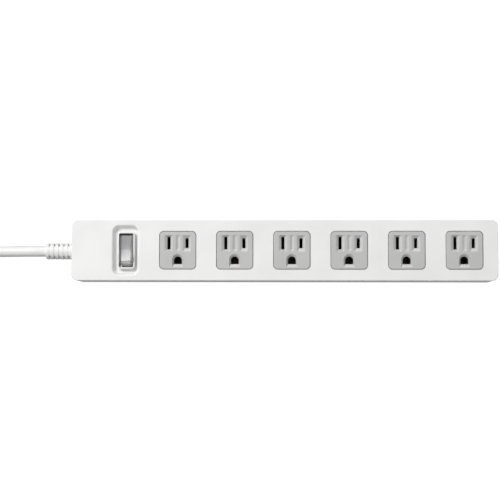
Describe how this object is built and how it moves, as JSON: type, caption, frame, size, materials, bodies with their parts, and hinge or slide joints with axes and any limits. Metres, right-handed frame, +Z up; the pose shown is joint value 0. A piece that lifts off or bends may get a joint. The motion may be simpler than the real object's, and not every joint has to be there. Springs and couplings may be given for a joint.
{
  "type": "power strip",
  "caption": "Flat power strip with a row of grounded outlets, a see-through rocker switch in a recess, a ribbed strain relief and a lead with a straight plug.",
  "frame": {"origin": "middle of the housing's underside", "axes": "+X along the strip away from the cord, +Y to the long side nearest the blade slots, +Z up out of the outlets"},
  "size_m": [0.4976, 0.0744, 0.054],
  "materials": {
    "housing_white": "satin moulded plastic",
    "insert_grey": "fine matt moulded plastic",
    "rocker_clear": "polished clear plastic",
    "cord_white": "smooth soft vinyl",
    "contact_brass": "dull rolled phosphor-bronze strip",
    "pin_nickel": "nickel-plated",
    "screw_steel": "zinc-plated",
    "case_white": "moulded plastic",
    "lamp_glass": "clear glass",
    "resistor_body": "lacquered",
    "wire_black": "vinyl",
    "wire_white": "vinyl",
    "wire_green": "vinyl",
    "tie_grey": "woven strap"
  },
  "bodies": {
    "housing": {"top_cover": "housing_white", "bottom_cover": "housing_white", "housing_screws": "screw_steel", "outlet_insert_1": "insert_grey", "neutral_contact_1": "contact_brass", "line_contact_1": "contact_brass", "ground_contact_1": "contact_brass", "outlet_insert_2": "insert_grey", "neutral_contact_2": "contact_brass", "line_contact_2": "contact_brass", "ground_contact_2": "contact_brass", "outlet_insert_3": "insert_grey", "neutral_contact_3": "contact_brass", "line_contact_3": "contact_brass", "ground_contact_3": "contact_brass", "outlet_insert_4": "insert_grey", "neutral_contact_4": "contact_brass", "line_contact_4": "contact_brass", "ground_contact_4": "contact_brass", "outlet_insert_5": "insert_grey", "neutral_contact_5": "contact_brass", "line_contact_5": "contact_brass", "ground_contact_5": "contact_brass", "outlet_insert_6": "insert_grey", "neutral_contact_6": "contact_brass", "line_contact_6": "contact_brass", "ground_contact_6": "contact_brass", "neutral_bus_bar": "contact_brass", "line_bus_bar": "contact_brass", "ground_bus_bar": "contact_brass", "switch_case": "case_white", "load_terminal": "contact_brass", "supply_terminal": "contact_brass", "neon_lamp": "lamp_glass", "lamp_resistor": "resistor_body", "lamp_leads": "pin_nickel", "supply_wire": "wire_black", "switched_wire": "wire_black", "neutral_wire": "wire_white", "ground_wire": "wire_green", "strain_relief": "cord_white", "cord_clamp": "housing_white", "clamp_screws": "screw_steel", "power_cord": "cord_white", "cord_hank": "cord_white", "cord_tie": "tie_grey", "plug_body": "cord_white", "plug_blade_neutral": "pin_nickel", "plug_blade_line": "pin_nickel", "plug_ground_pin": "pin_nickel"},
    "rocker": {"rocker": "rocker_clear", "rocker_carrier": "case_white", "plunger": "case_white", "plunger_spring": "screw_steel"},
    "lever": {"contact_lever": "contact_brass"}
  },
  "joints": [
    {"name": "rocker_hinge", "type": "hinge", "parent": "housing", "child": "rocker", "pos_m": [-0.1106, 0, 0.0202], "axis": [1, 0, 0], "range_deg": [0, 20]},
    {"name": "lever_hinge", "type": "hinge", "parent": "housing", "child": "lever", "pos_m": [-0.1106, 0, 0.0121], "axis": [1, 0, 0], "range_deg": [-12, 0]}
  ],
  "couplings": [
    {"joint": "lever_hinge", "follows": "rocker_hinge", "ratio": -0.6}
  ]
}
